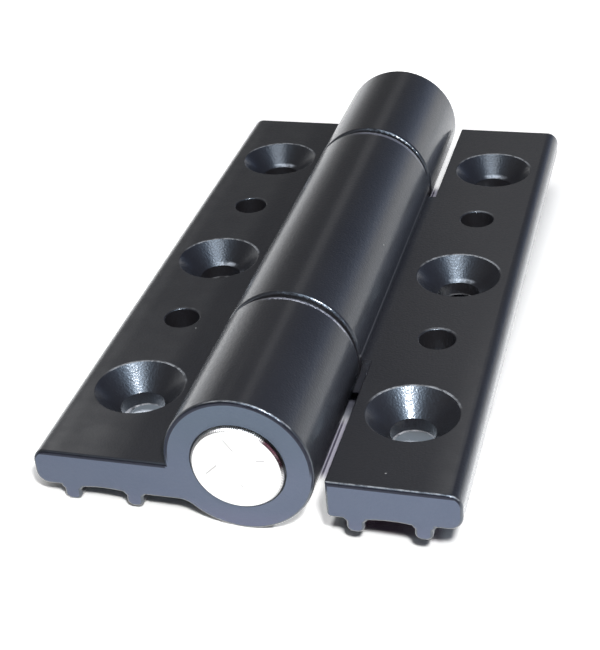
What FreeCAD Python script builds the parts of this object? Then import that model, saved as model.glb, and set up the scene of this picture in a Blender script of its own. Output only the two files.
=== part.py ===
import FreeCAD, Part

import math
import os

import Sketcher

# Folding door hinge. Two extruded aluminium leaves lie in one plane, joined by a three-knuckle barrel.
# X runs across the leaves, Y along the barrel with the front end at -Y, Z points away from the door.
# The origin is the middle of the underside: the barrel's lowest line is at Z 0.

Vector = FreeCAD.Vector
Constraint = Sketcher.Constraint
doc = FreeCAD.newDocument("FoldingDoorHinge")

# Driving dimensions in millimetres and degrees
SIZES = [
    ("barrel_diameter", 21.0, "outside of the three knuckles"),
    ("leaf_length", 110.0, "both leaves, along the barrel"),
    ("leaf_reach", 30.0, "barrel axis to the outer long edge of a leaf"),
    ("plate_thickness", 5.9, "flat of the leaf"),
    ("plate_drop", 1.0, "barrel axis down to the screw face of the leaf"),
    ("outer_round", 2.0, "radius of the two long outer corners"),
    ("heel_recess", 0.2, "underside outside the outer rib lies higher by this"),
    ("hollow_depth", 0.3, "shallow hollow between the two ribs"),
    ("root_fillet", 3.0, "underside of the leaf into the barrel"),
    ("root_corner", 0.7, "lower corner of the leaf beside the other leaf's knuckles"),
    ("middle_knuckle", 55.0, "length of the knuckle on the middle leaf"),
    ("relief_gap", 1.2, "between a knuckle and the edge of the leaf that it passes"),
    ("relief_overrun", 1.2, "the relief runs past the end of the leaf's own knuckle by this"),
    ("rib_height", 2.1, "locating ribs under the leaf"),
    ("rib_width", 2.5, "locating ribs"),
    ("rib_tip", 1.0, "radius of the rib's two lower corners"),
    ("rib_flare", 0.4, "rib's root spreads by this at each side"),
    ("rib_spread", 9.2, "between the middles of a leaf's two ribs"),
    ("hole_line_inset", 0.65, "line of screw holes, nearer the barrel than the middle of the plate"),
    ("hole_end_distance", 17.0, "end of the leaf to its first screw hole"),
    ("countersink_diameter", 13.3, "mouth of the three countersunk holes"),
    ("countersink_angle", 90.0, "full angle of the countersink"),
    ("screw_hole_diameter", 6.6, "shank hole under the countersink"),
    ("small_hole_diameter", 5.5, "the two plain holes between them"),
    ("pin_diameter", 13.0, "front end of the pin, pressed into the front knuckle"),
    ("pin_proud", 0.6, "each end of the pin stands out by this"),
    ("pin_edge", 0.2, "chamfer of the pin's ends"),
    ("shank_step", 0.2, "rest of the pin is smaller than its front end by this, on the radius"),
    ("running_clearance", 0.05, "bush to pin, on the radius"),
    ("bush_wall", 1.5, "sleeve of a bush"),
    ("bush_length", 16.0, "sleeve inside the middle knuckle"),
    ("flange_thickness", 1.0, "thrust flange between two knuckles"),
    ("flange_setback", 1.0, "rim of the flange inside the knuckle's surface"),
    ("thrust_clearance", 0.1, "flange to the outer knuckle"),
    ("bore_edge", 0.25, "chamfer at the outer mouths of the pin's bore"),
    ("end_round", 0.45, "radius around the ends of the leaves and the knuckles"),
    ("rim_round", 0.2, "radius of the screw holes' rims"),
]

sheet = doc.addObject("Spreadsheet::Sheet", "Dims")
for row, (alias, size, note) in enumerate(SIZES, start=1):
    sheet.set(f"A{row}", alias.replace("_", " "))
    sheet.set(f"B{row}", str(size))
    sheet.setAlias(f"B{row}", alias)
    sheet.set(f"C{row}", note)
doc.recompute()

# Places and sizes that follow from the driving ones, as expressions on the sheet
BARREL_RADIUS = "Dims.barrel_diameter / 2"
PIN_RADIUS = "Dims.pin_diameter / 2"
SHANK_RADIUS = f"({PIN_RADIUS} - Dims.shank_step)"
BUSH_BORE_RADIUS = f"({SHANK_RADIUS} + Dims.running_clearance)"
BUSH_RADIUS = f"({BUSH_BORE_RADIUS} + Dims.bush_wall)"
FLANGE_RADIUS = f"({BARREL_RADIUS} - Dims.flange_setback)"
HALF_LEAF = "Dims.leaf_length / 2"
HALF_MIDDLE = "Dims.middle_knuckle / 2"
KNUCKLE_GAP = "(Dims.flange_thickness + Dims.thrust_clearance)"
OUTER_KNUCKLE_START = f"({HALF_MIDDLE} + {KNUCKLE_GAP})"
OUTER_KNUCKLE = f"({HALF_LEAF} - {OUTER_KNUCKLE_START})"
PIN_HALF = f"({HALF_LEAF} + Dims.pin_proud)"
PLATE_TOP = "-Dims.plate_drop"
PLATE_BOTTOM = "(-Dims.plate_drop - Dims.plate_thickness)"
HEEL = f"({PLATE_BOTTOM} + Dims.heel_recess)"
RIB_FOOT = f"({PLATE_BOTTOM} - Dims.rib_height)"
RELIEF_EDGE = f"({BARREL_RADIUS} + Dims.relief_gap)"
HOLE_LINE = f"(({RELIEF_EDGE} + Dims.leaf_reach) / 2 - Dims.hole_line_inset)"
INNER_RIB = f"({HOLE_LINE} - Dims.rib_spread / 2)"
OUTER_RIB = f"({HOLE_LINE} + Dims.rib_spread / 2)"
HALF_RIB = "Dims.rib_width / 2"
HALF_HOLLOW = f"(Dims.rib_spread / 2 - {HALF_RIB})"
HOLLOW_RADIUS = f"({HALF_HOLLOW}^2 + Dims.hollow_depth^2) / (2 * Dims.hollow_depth)"
HOLE_PITCH = "(Dims.leaf_length - 2 * Dims.hole_end_distance) / 4"


def value(expression):
    """The number that an expression on the sheet gives."""
    return float(sheet.evalExpression(expression))


def origin_plane(body, role):
    """The body's own origin plane of that role."""
    return next(feature for feature in body.Origin.OriginFeatures if feature.Role == role)


def new_sketch(body, name, role, offset=None):
    """A sketch on one of the body's origin planes, moved along the plane's normal by an expression."""
    sketch = body.newObject("Sketcher::SketchObject", name)
    sketch.AttachmentSupport = [(origin_plane(body, role), "")]
    sketch.MapMode = "FlatFace"
    if offset:
        sketch.setExpression("AttachmentOffset.Base.z", offset)
    return sketch


def place(sketch, geometry, position, x, y):
    """Hold one point of a piece of geometry at the expressions x and y."""
    for kind, axis, distance in (("DistanceX", -2, x), ("DistanceY", -1, y)):
        if distance == "0":
            sketch.addConstraint(Constraint("PointOnObject", geometry, position, axis))
            continue
        index = sketch.addConstraint(Constraint(kind, -1, 1, geometry, position, value(distance)))
        sketch.setExpression(f"Constraints[{index}]", distance)


def circle(sketch, x, y, radius):
    """A circle about (x, y), all three given as expressions."""
    geometry = sketch.addGeometry(Part.Circle(Vector(value(x), value(y), 0), Vector(0, 0, 1), value(radius)))
    place(sketch, geometry, 3, x, y)
    index = sketch.addConstraint(Constraint("Radius", geometry, value(radius)))
    sketch.setExpression(f"Constraints[{index}]", radius)


def outline(sketch, corners):
    """A closed outline through corners (x, y, radius), each an expression; radius None is a sharp corner."""
    count = len(corners)
    points = [Vector(value(x), value(y), 0) for x, y, _ in corners]
    turning = sum(points[index - 1].cross(points[index]).z for index in range(count))
    if turning < 0:
        corners = corners[::-1]
        points = points[::-1]
    entries, exits, centres = [], [], []
    for index, (_, _, radius) in enumerate(corners):
        back = (points[index - 1] - points[index]).normalize()
        ahead = (points[(index + 1) % count] - points[index]).normalize()
        if radius is None:
            setback, centre = 0.0, None
        else:
            half_angle = back.getAngle(ahead) / 2
            setback = value(radius) / math.tan(half_angle)
            centre = points[index] + (back + ahead).normalize() * (value(radius) / math.sin(half_angle))
        entries.append(points[index] + back * setback)
        exits.append(points[index] + ahead * setback)
        centres.append(centre)
    marks = []
    for index, (x, y, _) in enumerate(corners):
        mark = sketch.addGeometry(Part.Point(points[index]), True)
        place(sketch, mark, 1, x, y)
        marks.append(mark)
    lines = [sketch.addGeometry(Part.LineSegment(exits[index], entries[(index + 1) % count]))
             for index in range(count)]
    for index, (_, _, radius) in enumerate(corners):
        before, after = lines[index - 1], lines[index]
        if radius is None:
            sketch.addConstraint(Constraint("Coincident", before, 2, marks[index], 1))
            sketch.addConstraint(Constraint("Coincident", after, 1, marks[index], 1))
            continue
        entry, leave, centre = entries[index], exits[index], centres[index]
        middle = centre + (points[index] - centre).normalize() * value(radius)
        arc_shape = Part.Arc(entry, middle, leave)
        arc = sketch.addGeometry(arc_shape)
        starts_at_entry = sketch.Geometry[arc].StartPoint.distanceToPoint(entry) < 1e-6
        entry_end, leave_end = (1, 2) if starts_at_entry else (2, 1)
        sketch.addConstraint(Constraint("PointOnObject", marks[index], 1, before))
        sketch.addConstraint(Constraint("PointOnObject", marks[index], 1, after))
        sketch.addConstraint(Constraint("Tangent", before, 2, arc, entry_end))
        sketch.addConstraint(Constraint("Tangent", arc, leave_end, after, 1))
        number = sketch.addConstraint(Constraint("Radius", arc, value(radius)))
        sketch.setExpression(f"Constraints[{number}]", radius)


def extrude(body, name, kind, sketch, length, direction="both"):
    """A Pad or Pocket of a section; length is an expression, direction is both ways or towards the back."""
    feature = body.newObject(f"PartDesign::{kind}", name)
    feature.Profile = sketch
    feature.setExpression("Length", length)
    feature.SideType = "Symmetric" if direction == "both" else "One side"
    feature.Reversed = direction == "back" and kind == "Pad"
    return feature


def mirror_to_back(body, name, originals):
    """The same features at the other end of the hinge."""
    mirrored = body.newObject("PartDesign::Mirrored", name)
    mirrored.Originals = originals
    mirrored.MirrorPlane = (origin_plane(body, "XZ_Plane"), [""])
    body.Tip = mirrored
    return mirrored


def edges_where(shape, test):
    """Names of the shape's edges that pass a test."""
    return [f"Edge{number}" for number, edge in enumerate(shape.Edges, start=1) if test(edge)]


def dress(body, kind, name, size_name, size, test):
    """A Fillet or Chamfer on every edge of the body so far that passes the test."""
    doc.recompute()
    base = body.Tip
    edges = edges_where(base.Shape, test)
    feature = body.newObject(f"PartDesign::{kind}", name)
    feature.Base = (base, edges)
    feature.setExpression(size_name, size)
    doc.recompute()
    return feature


def new_body(label):
    """A sub-part whose own origin lies on the barrel axis."""
    body = doc.addObject("PartDesign::Body", label)
    body.Label = label
    body.setExpression("Placement.Base.z", BARREL_RADIUS)
    return body


def near(first, second, tolerance=1e-4):
    return abs(first - second) < tolerance


# A leaf: plate, ribs and its knuckles are one extrusion, milled away where the other leaf's knuckles sit

def plate_outline(sketch, side):
    """Section of the plate from the relief edge to the outer long edge, with the stepped heel."""
    def across(expression):
        return f"{side} * {expression}"

    outline(sketch, [
        (across(RELIEF_EDGE), PLATE_TOP, None),
        (across("Dims.leaf_reach"), PLATE_TOP, "Dims.outer_round"),
        (across("Dims.leaf_reach"), HEEL, "Dims.outer_round"),
        (across(OUTER_RIB), HEEL, None),
        (across(OUTER_RIB), PLATE_BOTTOM, None),
        (across(RELIEF_EDGE), PLATE_BOTTOM, "Dims.root_corner"),
    ])


def rib_outline(sketch, side, middle):
    """Section of one locating rib: flared root, straight flanks, rounded foot."""
    def across(offset):
        return f"{side} * ({middle} {offset})"

    inner_root = across(f"- {HALF_RIB} - Dims.rib_flare")
    outer_root = across(f"+ {HALF_RIB} + Dims.rib_flare")
    inner_flank = across(f"- {HALF_RIB}")
    outer_flank = across(f"+ {HALF_RIB}")
    buried = f"({HEEL} + Dims.hollow_depth)"
    below_flare = f"({PLATE_BOTTOM} - Dims.rib_flare)"
    outline(sketch, [
        (inner_root, buried, None),
        (outer_root, buried, None),
        (outer_root, PLATE_BOTTOM, None),
        (outer_flank, below_flare, None),
        (outer_flank, RIB_FOOT, "Dims.rib_tip"),
        (inner_flank, RIB_FOOT, "Dims.rib_tip"),
        (inner_flank, below_flare, None),
        (inner_root, PLATE_BOTTOM, None),
    ])


def web_outline(sketch, side):
    """Section of the stretch that joins the plate to its knuckle, from the barrel axis into the plate."""
    inside_plate = f"{side} * ({RELIEF_EDGE} + Dims.root_corner)"
    outline(sketch, [
        ("0", PLATE_TOP, None),
        (inside_plate, PLATE_TOP, None),
        (inside_plate, PLATE_BOTTOM, None),
        ("0", PLATE_BOTTOM, None),
    ])


def bore(body, name, radius, start, length):
    """A bore on the barrel axis, from the place -start along it towards the back."""
    section = new_sketch(body, f"{name}Section", "XZ_Plane", start)
    circle(section, "0", "0", radius)
    extrude(body, name, "Pocket", section, length, "back")


def screw_holes(body, side, name, places, diameter, countersunk):
    """Holes on the leaf's hole line, at whole pitches from its middle."""
    sketch = new_sketch(body, f"{name}Places", "XY_Plane", PLATE_TOP)
    for pitches in places:
        along = "0" if pitches == 0 else f"{pitches} * {HOLE_PITCH}"
        circle(sketch, f"{side} * {HOLE_LINE}", along, f"{diameter} / 2")
    doc.recompute()
    hole = body.newObject("PartDesign::Hole", name)
    hole.Profile = sketch
    doc.recompute()
    hole.Threaded = False
    hole.ThreadType = "None"
    hole.DepthType = "ThroughAll"
    hole.setExpression("Diameter", diameter)
    if countersunk:
        hole.HoleCutType = "Countersink"
        hole.HoleCutCustomValues = True
        hole.setExpression("HoleCutDiameter", "Dims.countersink_diameter")
        hole.setExpression("HoleCutCountersinkAngle", "Dims.countersink_angle")
    doc.recompute()
    return hole


def is_arc(edge, radius):
    return isinstance(edge.Curve, Part.Circle) and near(edge.Curve.Radius, radius)


def soften(body, knuckle_end, bore_mouths):
    """Break the sharp edges: bore mouths, hole rims, relief edge, knuckle ends and leaf ends."""
    barrel_radius = value(BARREL_RADIUS)
    plate_top = value(PLATE_TOP)
    relief_edge = value(RELIEF_EDGE)
    leaf_end = value(HALF_LEAF)
    inner_end = value(knuckle_end)

    def across_leaf(edge, distance):
        flat = near(edge.BoundBox.YLength, 0)
        return flat and near(abs(edge.CenterOfMass.y), distance)

    def at_leaf_end(edge):
        return across_leaf(edge, leaf_end) and not bore_rim(edge)

    def at_inner_knuckle_end(edge):
        return across_leaf(edge, inner_end) and is_arc(edge, barrel_radius)

    def bore_rim(edge):
        return isinstance(edge.Curve, Part.Circle) and near(edge.CenterOfMass.x, 0) and len(edge.Vertexes) == 1

    def at_bore_mouth(edge):
        return across_leaf(edge, leaf_end) and bore_rim(edge)

    def on_relief_edge(edge):
        middle = edge.CenterOfMass
        along = near(edge.BoundBox.XLength, 0) and near(edge.BoundBox.ZLength, 0)
        return along and near(abs(middle.x), relief_edge) and near(middle.z, plate_top)

    def at_hole_rim(edge):
        flat = near(edge.BoundBox.ZLength, 0)
        return flat and isinstance(edge.Curve, Part.Circle) and near(edge.CenterOfMass.z, plate_top)

    if bore_mouths:
        dress(body, "Chamfer", "BoreMouths", "Size", "Dims.bore_edge", at_bore_mouth)
    dress(body, "Fillet", "HoleRims", "Radius", "Dims.rim_round", at_hole_rim)
    dress(body, "Fillet", "ReliefEdge", "Radius", "Dims.rim_round", on_relief_edge)
    dress(body, "Fillet", "KnuckleEnds", "Radius", "Dims.end_round", at_inner_knuckle_end)
    dress(body, "Fillet", "LeafEnds", "Radius", "Dims.end_round", at_leaf_end)


def leaf(label, side, outer):
    """One leaf on side -1 or +1, with the two outer knuckles or the middle one."""
    body = new_body(label)

    plate = new_sketch(body, "PlateSection", "XZ_Plane")
    plate_outline(plate, side)
    extrude(body, "Plate", "Pad", plate, "Dims.leaf_length")

    hollow = new_sketch(body, "HollowSection", "XZ_Plane")
    hollow_height = f"({PLATE_BOTTOM} + Dims.hollow_depth - {HOLLOW_RADIUS})"
    circle(hollow, f"{side} * {HOLE_LINE}", hollow_height, HOLLOW_RADIUS)
    extrude(body, "Hollow", "Pocket", hollow, "Dims.leaf_length")

    ribs = new_sketch(body, "RibSection", "XZ_Plane")
    for middle in (INNER_RIB, OUTER_RIB):
        rib_outline(ribs, side, middle)
    extrude(body, "Ribs", "Pad", ribs, "Dims.leaf_length")

    if outer:
        start, direction, knuckle_length, knuckle_end = HALF_LEAF, "back", OUTER_KNUCKLE, OUTER_KNUCKLE_START
        web_length = f"({OUTER_KNUCKLE} - Dims.relief_overrun)"
    else:
        start, direction, knuckle_length, knuckle_end = None, "both", "Dims.middle_knuckle", HALF_MIDDLE
        web_length = "(Dims.middle_knuckle - 2 * Dims.relief_overrun)"
    web_section = new_sketch(body, "WebSection", "XZ_Plane", start)
    web_outline(web_section, side)
    web = extrude(body, "Web", "Pad", web_section, web_length, direction)
    barrel_section = new_sketch(body, "BarrelSection", "XZ_Plane", start)
    circle(barrel_section, "0", "0", BARREL_RADIUS)
    barrel = extrude(body, "Barrel", "Pad", barrel_section, knuckle_length, direction)
    if outer:
        mirror_to_back(body, "BackKnuckle", [web, barrel])

    barrel_radius = value(BARREL_RADIUS)
    plate_bottom = value(PLATE_BOTTOM)

    def under_root(edge):
        middle = edge.CenterOfMass
        radial = math.hypot(middle.x, middle.z)
        along = near(edge.BoundBox.XLength, 0) and near(edge.BoundBox.ZLength, 0)
        return along and near(radial, barrel_radius) and near(middle.z, plate_bottom)

    dress(body, "Fillet", "RootFillet", "Radius", "Dims.root_fillet", under_root)

    if outer:
        bore(body, "FrontBore", PIN_RADIUS, HALF_LEAF, OUTER_KNUCKLE)
        bore(body, "BackBore", SHANK_RADIUS, f"-{OUTER_KNUCKLE_START}", OUTER_KNUCKLE)
    else:
        bore(body, "BushBore", BUSH_RADIUS, HALF_MIDDLE, "Dims.middle_knuckle")

    screw_holes(body, side, "CountersunkHoles", (-2, 0, 2), "Dims.screw_hole_diameter", True)
    screw_holes(body, side, "SmallHoles", (-1, 1), "Dims.small_hole_diameter", False)
    soften(body, knuckle_end, bore_mouths=outer)
    return body


def turned(label, corners):
    """A turned piece: its half section (radius, place along the barrel) swept round the barrel axis."""
    body = new_body(label)
    section = new_sketch(body, "HalfSection", "XY_Plane")
    outline(section, [(radius, along, None) for radius, along in corners])
    turn = body.newObject("PartDesign::Revolution", "Turn")
    turn.Profile = section
    turn.ReferenceAxis = (section, ["V_Axis"])
    turn.Angle = 360
    return body


def hinge_pin():
    """The steel pin: a full front end in the front knuckle, then a slimmer shank to the back end."""
    return turned("hinge_pin", [
        ("0", f"-{PIN_HALF}"),
        (f"({PIN_RADIUS} - Dims.pin_edge)", f"-{PIN_HALF}"),
        (PIN_RADIUS, f"-({PIN_HALF} - Dims.pin_edge)"),
        (PIN_RADIUS, f"-{OUTER_KNUCKLE_START}"),
        (SHANK_RADIUS, f"-{OUTER_KNUCKLE_START}"),
        (SHANK_RADIUS, f"({PIN_HALF} - Dims.pin_edge)"),
        (f"({SHANK_RADIUS} - Dims.pin_edge)", PIN_HALF),
        ("0", PIN_HALF),
    ])


def flanged_bush(label, end):
    """A plastic bush in one end (-1 front, +1 back) of the middle knuckle; its flange parts the knuckles."""
    knuckle_face = f"{end} * {HALF_MIDDLE}"
    flange_face = f"{end} * ({HALF_MIDDLE} + Dims.flange_thickness)"
    inner_end = f"{end} * ({HALF_MIDDLE} - Dims.bush_length)"
    return turned(label, [
        (BUSH_BORE_RADIUS, flange_face),
        (FLANGE_RADIUS, flange_face),
        (FLANGE_RADIUS, knuckle_face),
        (BUSH_RADIUS, knuckle_face),
        (BUSH_RADIUS, inner_end),
        (BUSH_BORE_RADIUS, inner_end),
    ])


pieces = [
    leaf("leaf_outer_knuckles", -1, outer=True),
    leaf("leaf_middle_knuckle", 1, outer=False),
    hinge_pin(),
    flanged_bush("front_bush", -1),
    flanged_bush("back_bush", 1),
]
doc.recompute()

for item in doc.Objects:
    if "Invalid" in item.State or "Error" in item.State:
        raise RuntimeError(f"{item.Label} failed: {item.getStatusString()}")
for piece in pieces:
    if piece.Shape.isNull() or not piece.Shape.isValid() or len(piece.Shape.Solids) != 1:
        raise RuntimeError(f"{piece.Label} is not one valid solid")

os.makedirs("parts", exist_ok=True)
for piece in pieces:
    piece.Shape.exportStep(f"parts/{piece.Label}.step")
    box = piece.Shape.BoundBox
    spans = " ".join(f"{span:.2f}" for span in (box.XLength, box.YLength, box.ZLength))
    print(f"{piece.Label}: {spans} mm, {piece.Shape.Volume / 1000:.2f} cm3, {len(piece.Shape.Faces)} faces")
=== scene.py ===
"""Looks of the folding door hinge: coated leaves, turned pin, plastic bushes, floor, light and camera.

X runs across the leaves, Y along the barrel from its front end, Z up. Lengths are in millimetres, also where a
material asks for the place of a point. Only the scales of noise and cells are in features a metre."""
import math
from types import SimpleNamespace

import bpy
import numpy as np
from mathutils import Matrix, Vector


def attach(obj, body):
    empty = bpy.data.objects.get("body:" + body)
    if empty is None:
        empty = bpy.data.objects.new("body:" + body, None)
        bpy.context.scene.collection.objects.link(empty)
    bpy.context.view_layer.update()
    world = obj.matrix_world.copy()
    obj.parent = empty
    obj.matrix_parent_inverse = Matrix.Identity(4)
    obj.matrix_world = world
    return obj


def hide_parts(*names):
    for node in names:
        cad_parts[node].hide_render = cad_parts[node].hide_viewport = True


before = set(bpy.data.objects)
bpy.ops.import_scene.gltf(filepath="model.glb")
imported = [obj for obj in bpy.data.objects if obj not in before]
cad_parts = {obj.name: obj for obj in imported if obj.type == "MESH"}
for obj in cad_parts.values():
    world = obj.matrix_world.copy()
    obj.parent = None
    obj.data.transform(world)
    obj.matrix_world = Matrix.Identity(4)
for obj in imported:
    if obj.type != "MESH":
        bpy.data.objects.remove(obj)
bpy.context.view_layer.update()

MM = 0.001
AXIS_Z = 10.5
BARREL_RADIUS = 10.5
HALF_WIDTH = 30.0
HALF_LENGTH = 55.0
HOLE_LINE = 20.2
HOLE_STEP = 19.0
PIN_END = 55.6
PIN_RADIUS = 6.5
PIN_FACE_RADIUS = 6.15
SHANK_RADIUS = 6.3
RIB_FOOT_X, RIB_FOOT_Z = -25.6, 1.5
WHITE = (1.0, 1.0, 1.0)


# nodes

def fill(tree, node, inputs):
    """Gives a node's sockets their values: a number, a colour or another node's output."""
    for name, value in inputs.items():
        if isinstance(value, bpy.types.NodeSocket):
            tree.links.new(value, node.inputs[name])
        else:
            node.inputs[name].default_value = (*value, 1.0) if isinstance(value, tuple) else value


def add(tree, kind, inputs=None, **settings):
    """Adds a node with its settings and fills its sockets."""
    made = tree.nodes.new(kind)
    for name, value in settings.items():
        setattr(made, name, value)
    fill(tree, made, inputs or {})
    return made


def math_node(tree, operation, *values):
    """The result of one sum on one or two values."""
    return add(tree, "ShaderNodeMath", dict(enumerate(values)), operation=operation).outputs[0]


def joined(tree, operation, values):
    """One sum carried through all the values, from the first to the last."""
    result = values[0]
    for value in values[1:]:
        result = math_node(tree, operation, result, value)
    return result


def product(tree, *values):
    """All values multiplied."""
    return joined(tree, "MULTIPLY", values)


def total(tree, *values):
    """All values added."""
    return joined(tree, "ADD", values)


def largest(tree, *values):
    """The largest of the values."""
    return joined(tree, "MAXIMUM", values)


def less(tree, first, second):
    """The first value less the second."""
    return math_node(tree, "SUBTRACT", first, second)


def unsigned(tree, value):
    """The value without its sign."""
    return math_node(tree, "ABSOLUTE", value)


def apart(tree, value, place):
    """How far a value is from a place."""
    return unsigned(tree, less(tree, value, place))


def distance(tree, first, second):
    """The length of a pair of runs at right angles."""
    return math_node(tree, "SQRT", total(tree, product(tree, first, first), product(tree, second, second)))


def spread(tree, value, start, full, low=0.0, high=1.0, smooth=True):
    """low where value is at start, high where it is at full, and between them in between. start may be above full."""
    kind = "SMOOTHSTEP" if smooth else "LINEAR"
    return add(tree, "ShaderNodeMapRange", {0: value, 1: start, 2: full, 3: low, 4: high},
               interpolation_type=kind).outputs[0]


def stretch(tree, value, start, full, fade, stop):
    """1 from full to fade, falling to 0 at start and at stop."""
    return product(tree, spread(tree, value, start, full), spread(tree, value, stop, fade))


def mix_colour(tree, share, first, second):
    """A colour between two colours."""
    return add(tree, "ShaderNodeMix", {0: share, 6: first, 7: second}, data_type="RGBA").outputs[2]


def painted(tree, body, coats):
    """A colour with coats laid over it one by one, each given as its share and its colour."""
    for share, colour in coats:
        body = mix_colour(tree, share, body, colour)
    return body


def parts(tree, vector):
    """The three numbers of a vector."""
    return add(tree, "ShaderNodeSeparateXYZ", {0: vector}).outputs


def noise(tree, place, scale, detail=2.0):
    """Noise of one scale."""
    sockets = {"Vector": place, "Scale": scale, "Detail": detail, "Roughness": 0.5}
    return add(tree, "ShaderNodeTexNoise", sockets).outputs["Fac"]


def bump(tree, height, depth, strength, under=None):
    """A normal that follows height, laid over another normal if there is one. depth is in metres."""
    sockets = {"Height": height, "Distance": depth, "Strength": strength}
    if under:
        sockets["Normal"] = under
    return add(tree, "ShaderNodeBump", sockets).outputs[0]


def point(tree):
    """A point's place in metres, for noise, and its x, y, z in millimetres. up is the height over the barrel's
    axis, radius the distance from that axis, and far_out the distance from the middle of the hinge's length."""
    place = add(tree, "ShaderNodeTexCoord").outputs["Object"]
    scaled = add(tree, "ShaderNodeVectorMath", {0: place, "Scale": 1 / MM}, operation="SCALE").outputs[0]
    x, y, z = parts(tree, scaled)
    up = less(tree, z, AXIS_Z)
    return SimpleNamespace(place=place, x=x, y=y, z=z, up=up, radius=distance(tree, x, up), far_out=unsigned(tree, y))


def material(name):
    """A new material with its tree and its shader."""
    made = bpy.data.materials.new(name)
    made.use_nodes = True
    tree = made.node_tree
    return made, tree, tree.nodes["Principled BSDF"]


# black coat

def sawn_ends(tree, at):
    """Shares of the flat end faces, which carry a painted reflection of the bright floor and the flash, and of the
    line where they turn into the top, which is painted shade. A face is an end where it looks along the barrel
    and lies near the leaf's end. The barrel's outer ring and the plate's top edge are left out of it, so that
    they stay dark as painted shade."""
    ring = product(tree, spread(tree, at.radius, 9.8, 9.9), spread(tree, at.up, -1.0, 1.0))
    plate_edge = product(tree, spread(tree, at.z, 8.8, 8.9), spread(tree, at.radius, 10.4, 10.6))
    end = product(tree, spread(tree, at.facing, 0.975, 0.995), spread(tree, at.far_out, 54.6, 54.9),
                  less(tree, 1.0, largest(tree, ring, plate_edge)))
    # Painted shade: a dark line on the rounding where an end face turns into the top.
    line = product(tree, at.rim, spread(tree, at.facing, 0.72, 0.82), at.upper, less(tree, 1.0, end))
    return end, line


def painted_edge_highlight(tree, at):
    """Share of a broken light line painted along the upper side of the rounding between top and end, on the barrel
    and the right leaf, where the highlight falls: a painted highlight. It stops where the leaf meets the barrel."""
    return product(tree, at.rim, stretch(tree, at.facing, 0.2, 0.4, 0.6, 0.72), spread(tree, at.rising, 0.3, 0.6),
                   spread(tree, at.x, -6.0, -2.0), spread(tree, apart(tree, at.x, 9.5), 1.2, 2.2),
                   spread(tree, noise(tree, at.place, 1300.0, 3.0), 0.3, 0.65))


def hole_glints(tree, at):
    """Shares of four places at the screw holes: the far rim of each mouth, lighter on the right leaf, a painted
    highlight; the rim where a large bore leaves the plate, lit most at the front row, a painted reflection of the
    lit floor; the far lip between countersink and bore, behind the front row, a painted glint; and the countersink
    itself, where the grain sparkles. large and small are the distances from the nearest large and small hole's
    axis, and past is how far a point lies behind it."""
    across = less(tree, unsigned(tree, at.x), HOLE_LINE)
    from_outer = apart(tree, at.far_out, 2 * HOLE_STEP)
    large = distance(tree, across, math_node(tree, "MINIMUM", at.far_out, from_outer))
    small = distance(tree, across, less(tree, at.far_out, HOLE_STEP))
    row = math_node(tree, "ROUND", math_node(tree, "DIVIDE", at.y, HOLE_STEP))
    past = less(tree, at.y, product(tree, row, HOLE_STEP))
    rough = spread(tree, noise(tree, at.place, 1100.0, 3.0), 0.35, 0.6, 0.25, 1.0)
    small_mouth = product(tree, spread(tree, small, 3.3, 3.1), spread(tree, at.x, -1.0, 1.0, 0.3, 1.0))
    mouth = product(tree, largest(tree, spread(tree, large, 7.0, 6.8), small_mouth),
                    spread(tree, at.rising, 0.73, 0.8), at.upper, spread(tree, past, 1.2, 4.5), rough)
    exit_glint = product(tree, stretch(tree, large, 3.25, 3.3, 3.5, 3.6), spread(tree, at.z, 4.2, 4.0), rough,
                   spread(tree, unsigned(tree, at.rising), 0.4, 0.2), spread(tree, at.y, -20.0, -30.0, 0.3, 1.0))
    lip = product(tree, spread(tree, large, 3.9, 3.6), stretch(tree, at.rising, 0.05, 0.2, 0.75, 0.8),
                  spread(tree, at.z, 4.5, 5.0), spread(tree, past, 2.8, 3.6), spread(tree, at.y, -30.0, -20.0), rough)
    countersink = product(tree, spread(tree, large, 6.9, 6.7), stretch(tree, at.rising, 0.6, 0.66, 0.76, 0.8))
    return mouth, exit_glint, lip, countersink


def knuckle_highlights(tree, at):
    """Shares of a painted highlight strip on the upper right of a knuckle beside each groove, of a broken painted
    glint at the front groove, and of a thin light line at the root of the middle knuckle."""
    on_barrel = product(tree, stretch(tree, at.radius, 9.8, 10.1, 10.6, 10.7), spread(tree, at.x, -4.5, 0.0),
                        spread(tree, at.up, 3.0, 6.5))
    front = stretch(tree, at.y, -29.5, -29.3, -28.4, -28.2)
    back = stretch(tree, at.y, 26.3, 26.5, 27.6, 27.9)
    highlight_band = product(tree, largest(tree, front, back), on_barrel)
    glint = product(tree, stretch(tree, at.y, -29.5, -29.4, -29.2, -29.1), on_barrel,
                    spread(tree, noise(tree, at.place, 2200.0), 0.45, 0.6))
    root = product(tree, spread(tree, apart(tree, at.z, 10.94), 0.3, 0.15), spread(tree, at.x, 10.2, 10.4),
                   spread(tree, at.far_out, 27.6, 27.5))
    return highlight_band, glint, root


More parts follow.
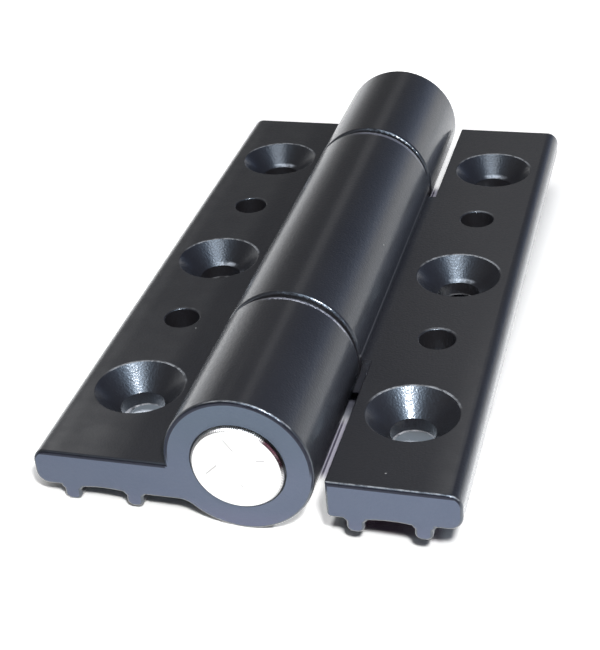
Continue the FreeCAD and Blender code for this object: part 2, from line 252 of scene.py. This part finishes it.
def dirt_and_sheen(tree, at):
    """Shares of a light veil on the plates' tops, a sum of soft fields times a cloud, partly a film of dirt and
    partly painted sheen towards the front and the outer edges, and of rare specks.
    """
    top = product(tree, spread(tree, at.rising, 0.95, 0.99), stretch(tree, at.z, 9.0, 9.2, 9.8, 10.2))
    # The fields lighten the outer strips and the front of the plates: painted sheen mixed with the film.
    fields = total(tree, spread(tree, at.x, -15.5, -19.0, 0.0, 0.16), spread(tree, at.x, -25.5, -27.5, 0.0, 0.18),
                   product(tree, spread(tree, at.x, -18.5, -22.5, 0.0, 0.22), spread(tree, at.y, -35.0, -50.0)),
                   product(tree, spread(tree, at.x, 24.0, 29.0, 0.0, 0.25), spread(tree, at.y, 0.0, -45.0)))
    veil_and_sheen = product(tree, fields, top, spread(tree, noise(tree, at.place, 350.0, 5.0), 0.3, 0.7, 0.8, 1.2))
    cells = add(tree, "ShaderNodeTexVoronoi", {"Vector": at.place, "Scale": 330.0}).outputs
    pick = add(tree, "ShaderNodeSeparateColor", {0: cells["Color"]}).outputs[1]
    specks = product(tree, spread(tree, cells["Distance"], 0.045, 0.03), spread(tree, pick, 0.87, 0.875))
    return veil_and_sheen, specks


def coat():
    """Satin black powder coat: a clear sharp layer over a wide bluish sheen, with fine grain that sparkles in the
    countersinks. The sawn ends are dull and carry a painted reflection of the floor and the flash, with painted
    shade where they turn into the top; painted highlights lie on the rounded edges, at the hole rims and beside
    the knuckles' grooves; and the plates carry a thin film of dirt with a painted sheen, and rare specks."""
    made, tree, shader = material("black_coat")
    at = point(tree)
    _, facing, at.rising = parts(tree, add(tree, "ShaderNodeTexCoord").outputs["Normal"])
    at.facing = unsigned(tree, facing)
    at.rim = spread(tree, at.far_out, 54.4, 54.6)
    at.upper = spread(tree, at.z, 7.5, 8.5)
    end, line = sawn_ends(tree, at)
    mouth, exit_glint, lip, countersink = hole_glints(tree, at)
    highlight_band, glint, root = knuckle_highlights(tree, at)
    veil_and_sheen, specks = dirt_and_sheen(tree, at)
    tone = spread(tree, noise(tree, at.place, 55.0, 4.0), 0.35, 0.65)
    # Painted reflection on the end faces: lighter and bluer than the coat, darker towards the top and lighter towards
    # the bottom.
    ends = painted(tree, mix_colour(tree, tone, (0.053, 0.058, 0.092), (0.06, 0.065, 0.099)), [
        (spread(tree, at.z, 8.0, 18.0), (0.047, 0.057, 0.08)),
        (spread(tree, at.z, 4.5, 0.5), (0.078, 0.075, 0.118))])
    body = painted(tree, mix_colour(tree, tone, (0.0135, 0.0115, 0.0125), (0.017, 0.0148, 0.0155)), [
        (end, ends), (line, (0.03, 0.032, 0.045)), (painted_edge_highlight(tree, at), (0.22, 0.225, 0.235)),
        (mouth, (0.3, 0.31, 0.33)), (exit_glint, (0.5, 0.5, 0.52)), (lip, (0.42, 0.45, 0.5)),
        (highlight_band, (0.165, 0.168, 0.205)), (glint, (0.45, 0.46, 0.52)), (root, (0.13, 0.127, 0.135)),
        (veil_and_sheen, (0.115, 0.112, 0.11)), (specks, (0.45, 0.45, 0.44))])
    grain = noise(tree, at.place, 2900.0, 3.0)
    sparkle = product(tree, grain, spread(tree, countersink, 0.0, 1.0, 1.0, 3.0, smooth=False))
    peel = bump(tree, noise(tree, at.place, 900.0), 0.00002, 0.1)
    fill(tree, shader, {
        "Base Color": body,
        # The painted shade line is made metallic and loses most of its clear layer, so that it mirrors little and
        # stays dark.
        "Metallic": line,
        "Roughness": spread(tree, grain, 0.3, 0.7, 0.37, 0.45),
        "Specular IOR Level": 1.0,
        "Specular Tint": (0.58, 0.77, 1.0),
        "Normal": bump(tree, grain, 0.00006, 0.8, peel),
        "Coat Weight": less(tree, 1.0, product(tree, largest(tree, end, line), 0.9)),
        "Coat Roughness": 0.18,
        "Coat IOR": 1.5,
        "Coat Normal": bump(tree, sparkle, 0.00002, 0.6, peel)})
    return made


# steel and plastic

def steel():
    """Bright turned steel: fine rings round the axis, painted shade in the knurl and the marks, and a dark red
    painted shadow on the right of the front chamfer. turned is the angle from the top, clockwise seen from the front."""
    made, tree, shader = material("turned_steel")
    at = point(tree)
    metres = [product(tree, length, MM) for length in (at.radius, at.y)]
    rings = noise(tree, add(tree, "ShaderNodeCombineXYZ", dict(enumerate(metres))).outputs[0], 4200.0, 3.0)
    cloud = spread(tree, noise(tree, at.place, 300.0, 3.0), 0.3, 0.7)
    # The attribute groove is painted shade in the knurl's grooves and the marks.
    groove = add(tree, "ShaderNodeAttribute", attribute_name="groove").outputs["Fac"]
    turned = math_node(tree, "ARCTAN2", at.x, at.up)
    # Painted shadow, dark red, on the right of the front chamfer.
    chamfer_shadow = product(tree, stretch(tree, turned, 0.5, 0.75, 1.35, 1.65), spread(tree, at.radius, 6.05, 6.2),
                    spread(tree, noise(tree, at.place, 1500.0), 0.2, 0.4), spread(tree, at.y, -54.5, -55.2))
    bright = mix_colour(tree, cloud, (0.86, 0.855, 0.85), (0.93, 0.925, 0.92))
    fill(tree, shader, {
        "Base Color": painted(tree, bright, [(groove, (0.2, 0.19, 0.19)), (chamfer_shadow, (0.035, 0.015, 0.02))]),
        "Metallic": 1.0,
        "Roughness": spread(tree, rings, 0.3, 0.7, 0.3, 0.42),
        "Normal": bump(tree, rings, 0.000006, 0.25)})
    return made


def bush_plastic():
    """Matt black moulded plastic with a fine mould grain."""
    made, tree, shader = material("bush_plastic")
    place = add(tree, "ShaderNodeTexCoord").outputs["Object"]
    grain = noise(tree, place, 3500.0)
    tone = spread(tree, noise(tree, place, 150.0, 3.0), 0.35, 0.65)
    fill(tree, shader, {
        "Base Color": mix_colour(tree, tone, (0.014, 0.014, 0.015), (0.02, 0.02, 0.021)),
        "Roughness": spread(tree, grain, 0.3, 0.7, 0.45, 0.58),
        "Normal": bump(tree, grain, 0.00002, 0.25)})
    return made


def dress(node, new_material):
    """Gives every material slot of a CAD node one new material."""
    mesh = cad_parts[node].data
    if not mesh.materials:
        mesh.materials.append(new_material)
    for place in range(len(mesh.materials)):
        mesh.materials[place] = new_material


# pin

# Four short marks in the pin's end face, each from one place (x, z) to another, from the axis.
PIN_MARKS = [((-1.42, 4.52), (-0.26, 2.95)), ((-4.28, -1.24), (-2.79, 0.24)),
             ((2.9, 1.7), (3.96, 1.84)), ((0.5, -2.65), (0.62, -2.8))]
MARK_RADIUS, MARK_DEPTH = 0.2, 0.04
KNURL_TEETH, KNURL_DEPTH, KNURL_END = 138, 0.1, -50.0
POINTS_PER_TOOTH = 6


def grid_mesh(name, points, closed, look):
    """A mesh through a grid of points, rows along u and columns along v. closed joins the last column to the
    first. look is its material."""
    rows, columns = points.shape[:2]
    index = np.arange(rows * columns).reshape(rows, columns)
    after = np.roll(index, -1, axis=1) if closed else index[:, 1:]
    here = index if closed else index[:, :-1]
    quads = np.stack([here[:-1], after[:-1], after[1:], here[1:]], axis=-1).reshape(-1, 4)
    mesh = bpy.data.meshes.new(name)
    mesh.from_pydata((points.reshape(-1, 3) * MM).tolist(), [], quads.tolist())
    mesh.materials.append(look)
    made = bpy.data.objects.new(name, mesh)
    bpy.context.scene.collection.objects.link(made)
    return made


def along(corners, step):
    """Points along straight runs between corners, about one step apart."""
    corners = np.array(corners, float)
    runs = []
    for start, stop in zip(corners[:-1], corners[1:]):
        count = max(1, int(math.ceil(np.linalg.norm(stop - start) / step)))
        runs.append(start + (stop - start) * np.linspace(0, 1, count, endpoint=False)[:, None])
    return np.vstack(runs + [corners[-1:]])


def near_segment(x, z, start, stop):
    """Distance of points (x, z) from the straight segment between start and stop."""
    start, stop = np.array(start), np.array(stop)
    run = stop - start
    share = np.clip(((x - start[0]) * run[0] + (z - start[1]) * run[1]) / (run @ run), 0, 1)
    return np.hypot(x - start[0] - share * run[0], z - start[1] - share * run[1])


def pin():
    """The pin as a profile of (radius, y) turned about the barrel's axis. Its front end has a straight knurl, where
    the radius falls by a rounded wave once a tooth, and fades out towards the knurl's end. Four short marks are
    pressed into the end face, deepest along their middle line. Its attribute groove darkens both as painted shade."""
    face = along([(0.0, -PIN_END), (PIN_FACE_RADIUS, -PIN_END)], 0.11)
    chamfer = along([(PIN_FACE_RADIUS, -PIN_END), (PIN_RADIUS, -55.25), (PIN_RADIUS, -54.2)], 0.1)[1:]
    shank = along([(PIN_RADIUS, -54.2), (PIN_RADIUS, KNURL_END), (PIN_RADIUS, -28.6), (SHANK_RADIUS, -28.4),
                   (SHANK_RADIUS, 55.4), (6.1, PIN_END)], 12.0)[1:]
    back = along([(6.1, PIN_END), (0.0, PIN_END)], 1.0)[1:]
    profile = np.vstack([face, chamfer, shank, back])
    around = KNURL_TEETH * POINTS_PER_TOOTH
    turn = np.arange(around) * 2 * math.pi / around
    radius = profile[:, :1] + 0 * turn
    y = profile[:, 1:] + 0 * turn
    wave = 0.5 - 0.5 * np.cos(turn * KNURL_TEETH)
    cut = np.clip((radius - PIN_FACE_RADIUS) / 0.1, 0, 1) * np.clip((KNURL_END - y) / 3.0, 0, 1)
    groove = cut * wave
    radius = radius - KNURL_DEPTH * groove
    x = radius * np.sin(turn)
    z = radius * np.cos(turn)
    pressed = np.zeros_like(x)
    for start, stop in PIN_MARKS:
        pressed = np.maximum(pressed, np.clip(1 - near_segment(x, z, start, stop) / MARK_RADIUS, 0, 1))
    pressed = pressed * (y < 0.01 - PIN_END)
    points = np.stack([x, y + MARK_DEPTH * pressed, z + AXIS_Z], axis=-1)
    made = grid_mesh("pin_turned", points, True, steel())
    made.data.shade_smooth()
    # The attribute groove holds painted shade for the knurl and the marks.
    shade = made.data.attributes.new("groove", "FLOAT", "POINT")
    shade.data.foreach_set("value", np.maximum(groove * 0.8, pressed * 0.85).astype(np.float32).ravel())
    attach(made, "outer_leaf")
    return made


pin_turned = pin()
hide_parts("hinge_pin")
black_coat = coat()
dress("leaf_outer_knuckles", black_coat)
dress("leaf_middle_knuckle", black_coat)
plastic = bush_plastic()
dress("front_bush", plastic)
dress("back_bush", plastic)


# floor, light and camera

def ray_kinds(tree):
    """1 for the camera's own rays, and 1 for rays that arrive by a glossy or a clear surface."""
    path = add(tree, "ShaderNodeLightPath").outputs
    return path["Is Camera Ray"], largest(tree, path["Is Glossy Ray"], path["Is Transmission Ray"])


def paper():
    """Pale paper. Under the hinge a shadow is painted into it, and how dark follows what covers it: free is 1 where
    nothing stands over it. Under the front countersinks and in the gap beside the barrel, light is painted into it
    as well. beside, before and outside are distances past the leaves' sides, past their ends and past the nearer of
    the two, all negative under the hinge. inward is before, moved by 6.5 for the back half, where the open floor at
    the relief shows less far in. Outside the hinge's own shadow the paper glows, but only for rays that the camera
    sees straight or mirrored, so that it looks white and lights nothing."""
    made = bpy.data.materials.new("floor")
    made.use_nodes = True
    tree = made.node_tree
    tree.nodes.clear()
    at = point(tree)
    beside = less(tree, unsigned(tree, at.x), HALF_WIDTH)
    before = less(tree, at.far_out, HALF_LENGTH)
    outside = largest(tree, beside, before)
    inward = less(tree, before, spread(tree, at.y, 0.0, 1.0, 0.0, 6.5))
    free = add(tree, "ShaderNodeAmbientOcclusion", {"Distance": 14.0 * MM}, samples=6).outputs["AO"]
    covered = spread(tree, free, 0.5, 0.35)

    # front_holes: under the front countersinks, where the paper is painted lighter and glows bluish as if lit through
    #     the bores. gap: below the reliefs beside the barrel, where it is painted lilac with a thin dark line and
    #         glows.
    front_holes = product(tree, spread(tree, before, -12.0, -15.0), spread(tree, at.y, -24.0, -30.0),
                          spread(tree, beside, -4.0, -6.0))
    gap = spread(tree, apart(tree, at.x, 8.5), 5.0, 4.0)
    open_floor = product(tree, gap, spread(tree, before, -28.5, -25.5))
    # Painted shadow under the hinge: maroon near its ends, bluish grey further in.
    shaded = product(tree, spread(tree, outside, -3.0, -4.5), less(tree, 1.0, open_floor), covered)
    shade_and_bore_light = mix_colour(tree, spread(tree, before, -14.0, -11.0), (0.12, 0.12, 0.15), (0.2, 0.13, 0.165))
    shade_and_bore_light = mix_colour(tree, front_holes, shade_and_bore_light, (0.55, 0.57, 0.62))
    # Painted light and shade in the gap: lilac with a thin dark line.
    thin_line = spread(tree, apart(tree, at.x, 7.45), 0.2, 0.1)
    gap_light_and_shade = mix_colour(tree, thin_line, (0.6, 0.57, 0.67), (0.1, 0.09, 0.13))
    pale = mix_colour(tree, noise(tree, at.place, 40.0), (0.94, 0.925, 0.9), (0.96, 0.945, 0.92))
    colour = painted(tree, pale, [
        (shaded, shade_and_bore_light), (product(tree, open_floor, spread(tree, inward, -11.5, -14.5), covered), gap_light_and_shade)])
    matt = add(tree, "ShaderNodeBsdfDiffuse", {"Color": colour}).outputs[0]

    straight, mirrored = ray_kinds(tree)
    far = product(tree, spread(tree, outside, 12.0, 60.0, 0.0, 0.6), spread(tree, straight, 0.0, 1.0, 0.15, 1.0))
    # bore and slit: painted glow under the front countersinks and in the gap beside the barrel.
    bore = product(tree, front_holes, less(tree, 1.0, gap), covered)
    slit = spread(tree, apart(tree, at.x, 7.5), 4.2, 3.4)
    near = largest(tree, spread(tree, outside, -3.0, 4.0, 0.0, 0.45), product(tree, bore, 0.2),
                   product(tree, slit, spread(tree, inward, -14.5, -11.0, 0.0, 0.45)),
                   spread(tree, free, 0.7, 0.9, 0.0, 0.45))
    glow = add(tree, "ShaderNodeEmission", {
        "Color": mix_colour(tree, bore, WHITE, (0.75, 0.87, 1.0)),
        "Strength": product(tree, largest(tree, straight, mirrored), total(tree, near, far))}).outputs[0]

    # From below the paper is clear, so that the underside can be seen.
    top_side = add(tree, "ShaderNodeAddShader", {0: matt, 1: glow}).outputs[0]
    from_below = add(tree, "ShaderNodeNewGeometry").outputs["Backfacing"]
    clear = add(tree, "ShaderNodeBsdfTransparent").outputs[0]
    both = add(tree, "ShaderNodeMixShader", {0: from_below, 1: top_side, 2: clear}).outputs[0]
    add(tree, "ShaderNodeOutputMaterial", {"Surface": both})
    return made


def floor():
    """A flat sheet that touches the barrel and the left leaf's outer rib, as the hinge lies in the photo. Its slope
    is found in four rounds: the foot's height and the barrel's rise over the foot's distance."""
    slope = 0.0594
    for _ in range(4):
        slope = (RIB_FOOT_Z * math.cos(slope) + BARREL_RADIUS * (1 - math.cos(slope))) / -RIB_FOOT_X
    normal = np.array([math.sin(slope), 0.0, math.cos(slope)])
    across = np.array([math.cos(slope), 0.0, -math.sin(slope)])
    touch = np.array([0.0, 0.0, AXIS_Z]) - normal * (BARREL_RADIUS + 0.02)
    u = np.linspace(-1600, 1600, 9)
    v = np.linspace(-1600, 2600, 9)
    points = touch + u[None, :, None] * across + v[:, None, None] * np.array([0.0, 1.0, 0.0])
    grid_mesh("floor", points, False, paper())


def room():
    """The room's own light, by direction: pale near the horizon behind the hinge, dark higher up and in front,
    bluish on the upper right, with a soft upright streak behind and a lighter upper left corner. side is how
    far a direction turns right (positive) or left from straight back. The camera's rays see plain white,
    and mirrored rays see white only at the horizon and below."""
    world = bpy.data.worlds.new("room")
    bpy.context.scene.world = world
    world.use_nodes = True
    tree = world.node_tree
    tree.nodes.clear()
    x, y, z = parts(tree, add(tree, "ShaderNodeTexCoord").outputs["Generated"])
    side = math_node(tree, "DIVIDE", x, largest(tree, y, 0.05))
    drop = product(tree, total(tree, largest(tree, side, -0.85), 0.75), 0.45)
    left = product(tree, spread(tree, total(tree, z, drop), -0.05, 0.42, 0.8, 0.0, smooth=False),
                   spread(tree, side, -0.6, -0.76, 0.62, 1.0))
    right = product(tree, spread(tree, z, 0.06, 0.38, 0.74, 0.0), spread(tree, side, 0.5, 0.75, 1.0, 0.62))
    rightward = spread(tree, x, -0.25, 0.25)
    horizon = total(tree, product(tree, rightward, right), product(tree, less(tree, 1.0, rightward), left))
    horizon = product(tree, horizon, spread(tree, y, -0.25, 0.2, 0.2, 1.0))
    streak = product(tree, spread(tree, apart(tree, side, -0.12), 0.13, 0.03, 0.0, 0.3), spread(tree, z, 0.32, 0.52))
    corner = product(tree, spread(tree, side, -0.46, -0.57, 0.0, 0.35), spread(tree, side, -0.8, -0.65),
                     spread(tree, z, 0.45, 0.56))
    cool = product(tree, spread(tree, x, -0.1, 0.3), spread(tree, z, 0.1, 0.3))
    dim = add(tree, "ShaderNodeBackground", {
        "Color": mix_colour(tree, cool, (1.0, 0.985, 0.98), (0.62, 0.84, 1.35)),
        "Strength": total(tree, horizon, 0.08, streak, corner)}).outputs[0]
    white = add(tree, "ShaderNodeBackground", {"Color": WHITE, "Strength": 1.0}).outputs[0]
    straight, mirrored = ray_kinds(tree)
    share = largest(tree, straight, product(tree, mirrored, spread(tree, z, 0.06, 0.0)))
    both = add(tree, "ShaderNodeMixShader", {0: share, 1: dim, 2: white}).outputs[0]
    add(tree, "ShaderNodeOutputWorld", {"Surface": both})


def lamp(name, place, size, power, colour):
    """A rectangular lamp that stands at a place and faces the hinge. size is in metres, power in watts."""
    data = bpy.data.lights.new(name, "AREA")
    data.shape = "RECTANGLE"
    data.size, data.size_y = size
    data.energy = power
    data.color = colour
    made = bpy.data.objects.new(name, data)
    bpy.context.scene.collection.objects.link(made)
    made.location = Vector(place) * MM
    made.rotation_mode = "QUATERNION"
    made.rotation_quaternion = (made.location - Vector((0, 0, 10)) * MM).to_track_quat("Z", "Y")
    made.visible_camera = False


def camera():
    """The photo's view. turn is the camera's angle about the upright, tilt how far it looks down and roll how far
    it leans, in radians. The principal point is the middle of the picture."""
    turn, tilt, roll = 0.303, 0.561, 0.082
    place = Vector((54.253, -195.787, 126.354)) * MM
    forward = Vector((-math.sin(turn) * math.cos(tilt), math.cos(turn) * math.cos(tilt), -math.sin(tilt)))
    right = Vector((math.cos(turn), math.sin(turn), 0.0))
    down = forward.cross(right)
    rolled_right = math.cos(roll) * right + math.sin(roll) * down
    rolled_down = math.cos(roll) * down - math.sin(roll) * right
    data = bpy.data.cameras.new("camera")
    data.lens = 79.21
    data.sensor_width = 36.0
    data.clip_start, data.clip_end = 0.01, 20.0
    made = bpy.data.objects.new("camera", data)
    bpy.context.scene.collection.objects.link(made)
    axes = Matrix((rolled_right, -rolled_down, -forward)).transposed().to_4x4()
    made.matrix_world = Matrix.Translation(place) @ axes
    bpy.context.scene.camera = made


floor()
room()
lamp("flash", (86, -192, 207), (0.03, 0.03), 0.83, (0.97, 0.985, 1.0))
lamp("ceiling", (165, -410, 895), (0.6, 0.4), 1.9, (0.95, 0.975, 1.0))
camera()
bpy.context.scene.view_settings.view_transform = "Standard"
